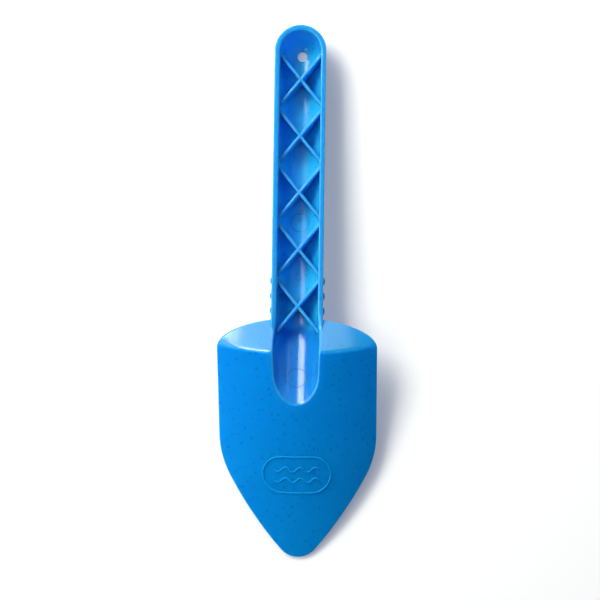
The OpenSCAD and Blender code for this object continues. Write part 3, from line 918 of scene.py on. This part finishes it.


# tone by cloud, marks, specks, and wear with painted highlights; matte, with a polished clear layer where the
# mesh has gloss
def plasticMaterial(name):
    look = plastics[name]
    material = bpy.data.materials.new(name)
    material.use_nodes = True
    tree = material.node_tree
    place = addNode(tree, "ShaderNodeTexCoord").outputs["Object"]
    marks = {label: addNode(tree, "ShaderNodeAttribute", attribute_name=label,
                            attribute_type="GEOMETRY").outputs["Fac"]
             for label in ("wearAndHighlight", "gloss", "paintedChannelLight", "trough")}
    own = {"specks": {"Share": look["speckShare"]}, "grain": {},
           "wearAndLight": {"Edge": marks["wearAndHighlight"], "Amount": look["wearAndLight"]}}
    effects = {key: addNode(tree, "ShaderNodeGroup", node_tree=group) for key, group in groups.items()}
    for key, node in effects.items():
        setInputs(tree, node, {"Vector": place, **own[key]})
    cloud = effects["grain"].outputs["Cloud"]

    tone = mixColor(tree, cloud, look["base"], look["deep"])
    # the gloss tone, then the painted light inside the channel, then the painted shade in the trough
    for label in ("gloss", "paintedChannelLight", "trough"):
        tone = mixColor(tree, marks[label], tone, look[label + "Tone"])
    hidden = mathNode(tree, "MULTIPLY", marks["gloss"], look["speckBlend"] * skin["glossHides"])
    shown = mathNode(tree, "SUBTRACT", look["speckBlend"], hidden)
    speck = mathNode(tree, "MULTIPLY", effects["specks"].outputs["Mask"], shown)
    tone = mixColor(tree, speck, tone, look["speck"])
    # worn tone: real rubbed edges, and painted highlights on rim tops, the ridge line and raised lines
    tone = mixColor(tree, effects["wearAndLight"].outputs["Mask"], tone, look["wornAndLit"])

    low, high = look["rough"]
    rough = mathNode(tree, "ADD", mathNode(tree, "MULTIPLY", cloud, high - low), low)
    rough = mathNode(tree, "ADD", rough, mathNode(tree, "MULTIPLY", marks["gloss"], look["glossRough"]))
    bump = addNode(tree, "ShaderNodeBump", {"Strength": look["bump"], "Distance": skin["grainDepth"],
                                            "Height": effects["grain"].outputs["Height"]})
    setInputs(tree, tree.nodes["Principled BSDF"], {
        "Base Color": tone, "Roughness": rough, "Normal": bump.outputs["Normal"],
        "Coat Weight": marks["gloss"], "Subsurface Weight": look["scatter"], **skin["sockets"]})
    return material


materials = {name: plasticMaterial(name) for name in plastics}
finishes = {"bluePlastic": [shovelBody], "bluePlasticRib": crossRibs, "bluePlasticRidge": gripRidges,
            "bluePlasticTrim": emblemParts + [gatePip], "bluePlasticPinShade": pinRings}
for name, pieces in finishes.items():
    for piece in pieces:
        piece.data.materials.clear()
        piece.data.materials.append(materials[name])
for piece in [shovelBody] + crossRibs + gripRidges + emblemParts + pinRings + [gatePip]:
    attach(piece, "root")
print("materials made:", ", ".join(materials))


# stage: white floor that keeps the shadow, and a white wall low round it; metres
studio = {
    "floorSize": 6.0, "floorColor": (0.775, 0.765, 0.69), "floorLift": 0.19, "liftColor": (0.80, 0.91, 1.33),
    "liftNear": 0.3, "liftSpan": 0.8,
    "ceiling": (0.96, 0.98, 1.0), "ceilingLevel": 0.18, "whiteTop": 0.42, "whiteFade": 0.14,
}


# rays that see the background: from the camera, off a shine or through something clear
def seenRays(tree):
    rays = addNode(tree, "ShaderNodeLightPath").outputs
    seen = mathNode(tree, "ADD", rays["Is Camera Ray"], rays["Is Glossy Ray"])
    return mathNode(tree, "ADD", seen, rays["Is Transmission Ray"], True)


# square of paper under the shovel; for those rays it glows a little, and fully white far away
def makeFloor():
    half = studio["floorSize"] / 2
    mesh = bpy.data.meshes.new("floor")
    corners = [(-half, -half, 0), (half, -half, 0), (half, half, 0), (-half, half, 0)]
    mesh.from_pydata(corners, [], [(0, 1, 2, 3)])
    floor = bpy.data.objects.new("floor", mesh)
    bpy.context.collection.objects.link(floor)
    material = bpy.data.materials.new("whiteFloor")
    material.use_nodes = True
    tree = material.node_tree
    tree.nodes.clear()
    paper = addNode(tree, "ShaderNodeBsdfDiffuse", {"Color": (*studio["floorColor"], 1.0)})
    # the glow grows with the distance, because the lamps reach less far
    place = addNode(tree, "ShaderNodeTexCoord").outputs["Object"]
    away = addNode(tree, "ShaderNodeVectorMath", {0: place}, operation="LENGTH").outputs["Value"]
    far = mathNode(tree, "SUBTRACT", away, studio["liftNear"])
    far = mathNode(tree, "DIVIDE", far, studio["liftSpan"], True)
    level = mathNode(tree, "MULTIPLY", far, 1.0 - studio["floorLift"])
    level = mathNode(tree, "ADD", level, studio["floorLift"])
    glow = mathNode(tree, "MULTIPLY", seenRays(tree), level)
    lift = addNode(tree, "ShaderNodeEmission", {"Color": (*studio["liftColor"], 1.0), "Strength": glow})
    both = addNode(tree, "ShaderNodeAddShader", {0: paper.outputs[0], 1: lift.outputs[0]})
    addNode(tree, "ShaderNodeOutputMaterial", {"Surface": both.outputs[0]})
    mesh.materials.append(material)


# world: a soft ceiling that lights the shovel; those rays see a white wall up to a height instead
def makeWorld():
    world = bpy.data.worlds.new("studio")
    bpy.context.scene.world = world
    world.use_nodes = True
    tree = world.node_tree
    tree.nodes.clear()
    place = addNode(tree, "ShaderNodeTexCoord").outputs["Generated"]
    way = addNode(tree, "ShaderNodeSeparateXYZ", {0: place})
    wall = mathNode(tree, "SUBTRACT", studio["whiteTop"], way.outputs["Z"])
    wall = mathNode(tree, "DIVIDE", wall, studio["whiteFade"], True)
    seen = mathNode(tree, "MULTIPLY", seenRays(tree), wall)
    soft = addNode(tree, "ShaderNodeBackground", {"Color": (*studio["ceiling"], 1.0),
                                                  "Strength": studio["ceilingLevel"]})
    white = addNode(tree, "ShaderNodeBackground", {"Color": (1.0, 1.0, 1.0, 1.0), "Strength": 1.0})
    mix = addNode(tree, "ShaderNodeMixShader", {0: seen, 1: soft.outputs[0], 2: white.outputs[0]})
    addNode(tree, "ShaderNodeOutputWorld", {"Surface": mix.outputs[0]})


# softboxes: key, low and high hang level above the left, so that their straight edges show in the polished
# channel, side and back face the shovel; metres and watts
lamps = {
    "key": {"place": (-0.64, 0.725, 1.05), "size": (0.62, 0.65), "power": 21.5},
    "low": {"place": (-0.50, -0.01, 1.05), "size": (0.60, 0.42), "power": 2.8},
    "high": {"place": (-0.67, 1.23, 1.05), "size": (1.0, 0.36), "power": 12.1},
    "side": {"from": (-1.3, 0.0, 0.62), "far": 1.6, "size": (1.9, 1.2), "power": 11.1},
    "back": {"from": (0.05, 0.87, 0.47), "far": 1.5, "size": (2.3, 0.4), "power": 7.6},
}


# a lamp with a place looks straight down, one with a direction stands that far out and looks at the middle
def softBox(name):
    look = lamps[name]
    light = bpy.data.lights.new(name, "AREA")
    light.shape, light.energy = "RECTANGLE", look["power"]
    light.size, light.size_y = look["size"]
    lamp = bpy.data.objects.new(name, light)
    bpy.context.collection.objects.link(lamp)
    if "place" in look:
        lamp.location = look["place"]
        return
    aim = unit(np.array(look["from"]))
    lamp.location = aim * look["far"]
    lamp.rotation_euler = (math.acos(aim[2]), 0, math.atan2(aim[0], -aim[1]))


# camera almost overhead, a little to the right, as the photograph's perspective gives it
camera = {"place": (0.05403, -0.01061, 0.9524), "turn": (0.0077, 0.0568, 0.0096), "lens": 120.6,
          "sensor": 36.0, "clipEnd": 20.0}


def makeCamera():
    data = bpy.data.cameras.new("camera")
    data.lens, data.sensor_width, data.clip_end = camera["lens"], camera["sensor"], camera["clipEnd"]
    obj = bpy.data.objects.new("camera", data)
    bpy.context.collection.objects.link(obj)
    obj.location = camera["place"]
    obj.rotation_mode = "ZYX"
    obj.rotation_euler = camera["turn"]
    bpy.context.scene.camera = obj


makeFloor()
makeWorld()
for name in lamps:
    softBox(name)
makeCamera()
bpy.context.scene.view_settings.view_transform = "Standard"
print("stage, lights and camera made")

bpy.context.view_layer.update()
